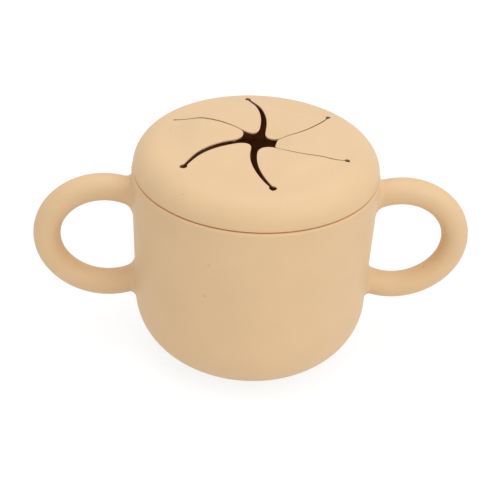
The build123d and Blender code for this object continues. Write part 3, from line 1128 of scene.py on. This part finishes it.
def white_room(strength):
    """A world that lights softly from all round, and looks white."""
    world = bpy.data.worlds.new("white_room")
    nodes = Nodes(world)
    light = nodes.add("ShaderNodeBackground", {"Color": ROOM_COLOUR, "Strength": strength})
    white = nodes.add("ShaderNodeBackground", {"Color": WHITE, "Strength": 1.0})
    nodes.show("ShaderNodeOutputWorld", light, white)
    return world


# ------------------------------------------------------------------ the stage

FLOOR_SIDE = 6.0
LAMP_AIM = (0, 0, 40 * MM)         # the middle of the cup
KEY_PLACE, KEY_WIDTH, KEY_COLOUR = (0.5, -0.6, 0.65), 0.7, (0.96, 1.0, 1.06)
TOP_PLACE, TOP_WIDTH, TOP_COLOUR = (0.0, 0.0, 1.0), 0.8, (0.91, 0.99, 1.17)
SENSOR_WIDTH = 36.0                # of the camera, in millimetres
NEAREST, FARTHEST = 0.01, 20.0     # what the camera sees


def soft_lamp(name, place, width, power, colour):
    """A large square lamp that faces the cup."""
    lamp = bpy.data.lights.new(name, "AREA")
    lamp.shape = "SQUARE"
    lamp.size = width
    lamp.energy = power
    lamp.color = colour
    holder = bpy.data.objects.new(name, lamp)
    holder.location = place
    holder.rotation_euler = (Vector(LAMP_AIM) - Vector(place)).to_track_quat("-Z", "Y").to_euler()
    bpy.context.scene.collection.objects.link(holder)


def photo_camera(setup):
    """The camera at the photograph's place, with the aimed point at its own pixel."""
    data = bpy.data.cameras.new("camera")
    data.sensor_width = SENSOR_WIDTH
    data.lens = setup.focal_pixels / setup.picture_side * SENSOR_WIDTH
    data.clip_start = NEAREST
    data.clip_end = FARTHEST
    camera = bpy.data.objects.new("camera", data)
    bpy.context.scene.collection.objects.link(camera)
    bpy.context.scene.camera = camera

    azimuth, elevation = setup.azimuth, setup.elevation
    back = Vector((sin(azimuth) * cos(elevation), -cos(azimuth) * cos(elevation), sin(elevation)))
    ahead = -back
    level = ahead.cross(Vector((0, 0, 1))).normalized()
    upright = level.cross(ahead)
    right = level * cos(setup.roll) + upright * sin(setup.roll)
    up = upright * cos(setup.roll) - level * sin(setup.roll)
    middle = setup.picture_side / 2
    yaw, pitch = (atan((pixel - middle) / setup.focal_pixels) for pixel in setup.aim_pixel)
    right, ahead = right * cos(yaw) + ahead * sin(yaw), ahead * cos(yaw) - right * sin(yaw)
    up, ahead = up * cos(pitch) - ahead * sin(pitch), up * sin(pitch) + ahead * cos(pitch)
    turn = Matrix((right, up, -ahead)).transposed()
    place = Vector((0, 0, setup.aim_height)) + back * setup.distance
    camera.matrix_world = Matrix.Translation(place) @ turn.to_4x4()


# ------------------------------------------------------------------ operators

class SNACKCUP_OT_cup(bpy.types.Operator):
    """Build the cup with its two ring handles as one silicone moulding"""

    bl_idname = "snack_cup.cup"
    bl_label = "Cup"

    def execute(self, context):
        settings = context.scene.snack_cup
        cup, look = settings.cup, settings.look
        within = cup.rim_radius - cup.wall / 2
        material = silicone(
            "cup_silicone", look.cup_colour, look.cup_painted_shade, CUP_PAINTED_SHADE_TINT, within, look, cup
        )
        piece = cup_skin(cup, settings.handles).make("cup_moulding", material)
        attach(piece, "cup")
        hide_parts("cup")
        return {"FINISHED"}


class SNACKCUP_OT_lid(bpy.types.Operator):
    """Build the lid's ring and the six petals"""

    bl_idname = "snack_cup.lid"
    bl_label = "Lid and petals"

    def execute(self, context):
        settings = context.scene.snack_cup
        cup, lid, slits, look = settings.cup, settings.lid, settings.slits, settings.look
        shape = LidOutline(cup, lid, slits)
        within = shape.skirt_inner_r + lid.skirt_thickness / 2
        material = silicone(
            "lid_silicone", look.lid_colour, look.lid_painted_shade, LID_PAINTED_SHADE_TINT, within, look, cup,
            cuts=True,
        )
        ring = lid_skin(shape).make("lid_ring", material)
        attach(ring, "lid")
        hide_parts("lid")
        for number, hinge in enumerate(PETAL_HINGES):
            node = hinge["child"]
            petal = petal_skin(shape, number).make(f"{node}_flap", material)
            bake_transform(petal)
            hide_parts(node)
        return {"FINISHED"}


class SNACKCUP_OT_stage(bpy.types.Operator):
    """Set up the floor, the lamps and the camera"""

    bl_idname = "snack_cup.stage"
    bl_label = "Stage"

    def execute(self, context):
        setup = context.scene.snack_cup.stage
        bpy.ops.mesh.primitive_plane_add(size=FLOOR_SIDE, location=(0, 0, 0))
        floor = context.object
        floor.name = "floor"
        floor.data.materials.append(white_floor())
        soft_lamp("key_lamp", KEY_PLACE, KEY_WIDTH, setup.key_power, KEY_COLOUR)
        soft_lamp("top_lamp", TOP_PLACE, TOP_WIDTH, setup.top_power, TOP_COLOUR)
        context.scene.world = white_room(setup.room_light)
        context.scene.view_settings.view_transform = "Standard"
        photo_camera(setup)
        return {"FINISHED"}


class SNACKCUP_PT_panel(bpy.types.Panel):
    """The cup's sizes and the buttons that build it"""

    bl_label = "Snack cup"
    bl_space_type = "VIEW_3D"
    bl_region_type = "UI"
    bl_category = "Snack Cup"

    def draw(self, context):
        settings = context.scene.snack_cup
        for group in (settings.cup, settings.handles, settings.lid, settings.slits,
                      settings.look, settings.stage):
            box = self.layout.box()
            for name in group.bl_rna.properties.keys():
                if name not in ("rna_type", "name"):
                    box.prop(group, name)
        for operator in BUILD_ORDER:
            self.layout.operator(operator.bl_idname)


BUILD_ORDER = (SNACKCUP_OT_cup, SNACKCUP_OT_lid, SNACKCUP_OT_stage)
CLASSES = (CupSizes, HandleSizes, LidSizes, SlitSizes, SiliconeLook, StageSetup, SnackCup,
           *BUILD_ORDER, SNACKCUP_PT_panel)


def register():
    for kind in CLASSES:
        bpy.utils.register_class(kind)
    bpy.types.Scene.snack_cup = PointerProperty(type=SnackCup)


def unregister():
    del bpy.types.Scene.snack_cup
    for kind in reversed(CLASSES):
        bpy.utils.unregister_class(kind)


def main():
    """Builds everything in order."""
    register()
    bpy.ops.snack_cup.cup()
    bpy.ops.snack_cup.lid()
    bpy.ops.snack_cup.stage()


if __name__ == "__main__":
    main()
